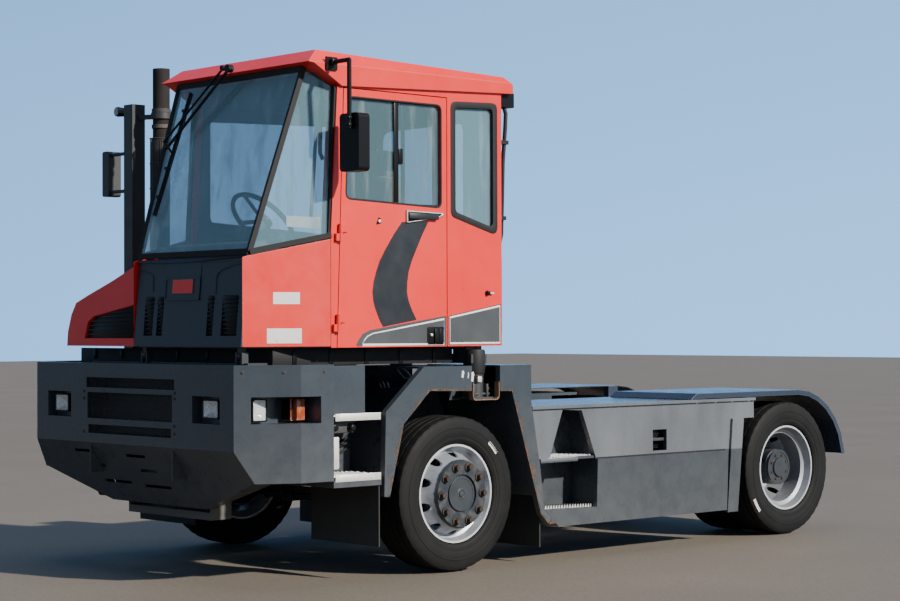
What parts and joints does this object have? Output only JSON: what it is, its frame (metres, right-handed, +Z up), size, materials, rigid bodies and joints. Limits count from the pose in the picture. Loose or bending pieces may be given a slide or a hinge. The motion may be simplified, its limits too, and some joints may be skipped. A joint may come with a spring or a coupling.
{
  "type": "terminal tractor",
  "caption": "Terminal tractor: yard truck with an offset tilting cab, steered front wheels and a lifting fifth wheel for moving semi-trailers.",
  "frame": {"origin": "on the ground, below the middle of the whole vehicle's box", "axes": "+Z up, -Y forwards, +X to the vehicle's left"},
  "size_m": [2.9, 5.3806, 3.18],
  "materials": {
    "chassis_grey": "semi-gloss paint, scuffed, rust at edges",
    "black_metal": "matt black paint",
    "cab_red": "faded gloss paint",
    "dark_plastic": "grained moulding",
    "black_plastic": "moulded, satin",
    "black_rubber": "matt",
    "tyre_rubber": "matt, dusty",
    "wheel_silver": "silver paint",
    "tinted_glass": "lightly tinted",
    "lamp_clear": "clear lens",
    "lamp_amber": "amber lens",
    "lamp_red": "red lens",
    "tread_metal": "ribbed, worn",
    "engine_iron": "dirty casting",
    "axle_iron": "black, dusty",
    "exhaust_metal": "burnt and rusty",
    "plate_steel": "greased",
    "rod_chrome": "polished",
    "seat_fabric": "woven"
  },
  "bodies": {
    "chassis": {"frame_rails": "chassis_grey", "front_bumper": "chassis_grey", "bumper_grille": "black_metal", "headlamps": "lamp_clear", "indicator_lamps": "lamp_amber", "tail_lamps": "lamp_red", "radiator": "black_metal", "engine_block": "engine_iron", "arch_panels": "chassis_grey", "step_box": "chassis_grey", "step_treads": "tread_metal", "side_boxes": "chassis_grey", "rear_mudguards": "chassis_grey", "mudflaps": "black_rubber", "front_axle_beam": "axle_iron", "leaf_springs": "axle_iron", "rear_axle": "axle_iron", "propeller_shaft": "axle_iron", "exhaust_stack": "exhaust_metal", "mirror_post": "black_metal", "cab_mounts": "black_metal"},
    "cab": {"cab_floor": "black_metal", "front_panel": "dark_plastic", "quarter_panels": "cab_red", "side_hood": "cab_red", "cab_left_wall": "cab_red", "cab_right_wall": "cab_red", "cab_rear_wall": "cab_red", "cab_roof": "cab_red", "screen_frame": "black_rubber", "cab_glass": "tinted_glass", "dashboard": "dark_plastic", "steering_wheel": "dark_plastic", "driver_seat": "seat_fabric", "left_mirror": "black_plastic", "wiper": "black_plastic", "rear_fittings": "black_plastic"},
    "door": {"door_left": "cab_red", "door_window": "tinted_glass"},
    "knuckle_left": {"knuckle_left": "axle_iron"},
    "knuckle_right": {"knuckle_right": "axle_iron"},
    "tie_rod": {"tie_rod": "axle_iron"},
    "front_left_wheel": {"tyre_front_left": "tyre_rubber", "wheel_front_left": "wheel_silver"},
    "front_right_wheel": {"tyre_front_right": "tyre_rubber", "wheel_front_right": "wheel_silver"},
    "rear_left_wheels": {"tyres_rear_left": "tyre_rubber", "wheels_rear_left": "wheel_silver"},
    "rear_right_wheels": {"tyres_rear_right": "tyre_rubber", "wheels_rear_right": "wheel_silver"},
    "boom": {"lift_boom": "black_metal"},
    "fifth_wheel": {"fifth_wheel": "plate_steel"},
    "lift_barrels": {"lift_barrels": "black_metal"},
    "lift_rods": {"lift_rods": "rod_chrome"}
  },
  "joints": [
    {"name": "cab_tilt", "type": "hinge", "parent": "chassis", "child": "cab", "pos_m": [0.49, -2.583, 1.315], "axis": [1, 0, 0], "range_deg": [0, 60]},
    {"name": "door_swing", "type": "hinge", "parent": "cab", "child": "door", "pos_m": [1.215, -2.06731, 2], "axis": [0, -0.0354, -0.9994], "range_deg": [0, 75]},
    {"name": "steer_left", "type": "hinge", "parent": "chassis", "child": "knuckle_left", "pos_m": [0.905, -1.143, 0.47], "axis": [0, 0, 1], "range_deg": [-35, 35]},
    {"name": "steer_right", "type": "hinge", "parent": "chassis", "child": "knuckle_right", "pos_m": [-0.905, -1.143, 0.47], "axis": [0, 0, 1], "range_deg": [-35, 35]},
    {"name": "tie_rod_swivel", "type": "hinge", "parent": "knuckle_left", "child": "tie_rod", "pos_m": [0.905, -0.963, 0.335], "axis": [0, 0, 1], "range_deg": [-35, 35]},
    {"name": "front_left_spin", "type": "hinge", "parent": "knuckle_left", "child": "front_left_wheel", "pos_m": [1.06, -1.143, 0.47], "axis": [1, 0, 0], "continuous": true},
    {"name": "front_right_spin", "type": "hinge", "parent": "knuckle_right", "child": "front_right_wheel", "pos_m": [-1.06, -1.143, 0.47], "axis": [1, 0, 0], "continuous": true},
    {"name": "rear_left_spin", "type": "hinge", "parent": "chassis", "child": "rear_left_wheels", "pos_m": [0.899, 2.057, 0.47], "axis": [1, 0, 0], "continuous": true},
    {"name": "rear_right_spin", "type": "hinge", "parent": "chassis", "child": "rear_right_wheels", "pos_m": [-0.899, 2.057, 0.47], "axis": [1, 0, 0], "continuous": true},
    {"name": "boom_lift", "type": "hinge", "parent": "chassis", "child": "boom", "pos_m": [0, -0.193, 0.74], "axis": [1, 0, 0], "range_deg": [0, 12]},
    {"name": "fifth_wheel_pitch", "type": "hinge", "parent": "boom", "child": "fifth_wheel", "pos_m": [0, 1.807, 0.8], "axis": [1, 0, 0], "range_deg": [-15, 10]},
    {"name": "barrel_tilt", "type": "hinge", "parent": "chassis", "child": "lift_barrels", "pos_m": [0, 0.457, 0.33], "axis": [1, 0, 0], "range_deg": [0, 16.61]},
    {"name": "rod_stroke", "type": "slide", "parent": "lift_barrels", "child": "lift_rods", "axis": [0, 0.9446, 0.3281], "range_m": [0, 0.137]}
  ],
  "couplings": [
    {"joint": "steer_right", "follows": "steer_left", "ratio": 1},
    {"joint": "tie_rod_swivel", "follows": "steer_left", "ratio": -1},
    {"joint": "barrel_tilt", "follows": "boom_lift", "ratio": 1.3796},
    {"joint": "rod_stroke", "follows": "boom_lift", "m_per_rad": 0.6518}
  ]
}
